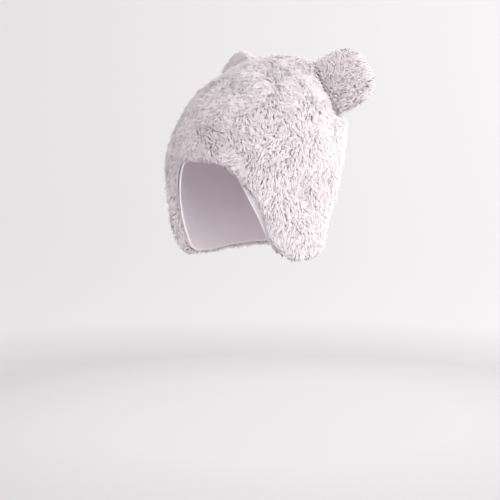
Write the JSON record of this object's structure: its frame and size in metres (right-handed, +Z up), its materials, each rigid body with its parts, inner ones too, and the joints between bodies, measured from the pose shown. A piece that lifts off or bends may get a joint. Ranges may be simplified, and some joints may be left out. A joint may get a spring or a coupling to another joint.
{
  "type": "baby hat with ears",
  "caption": "Deep-pile plush baby hat with rounded bear ears, ear flaps and a smooth lining, open at the face and neck.",
  "frame": {"origin": "on the lining under the crown, where the top of the head sits", "axes": "+Z up, the face opening looks towards -Y, the wearer's left is at +X"},
  "size_m": [0.1976, 0.1922, 0.2064],
  "materials": {
    "plush": "long soft teddy pile in pale mauve grey, matt",
    "lining": "smooth white jersey with a faint lavender tint and a soft sheen"
  },
  "bodies": {
    "root": {"plush_shell": "plush", "lining": "lining", "ear_left": "plush", "ear_right": "plush"}
  },
  "joints": []
}
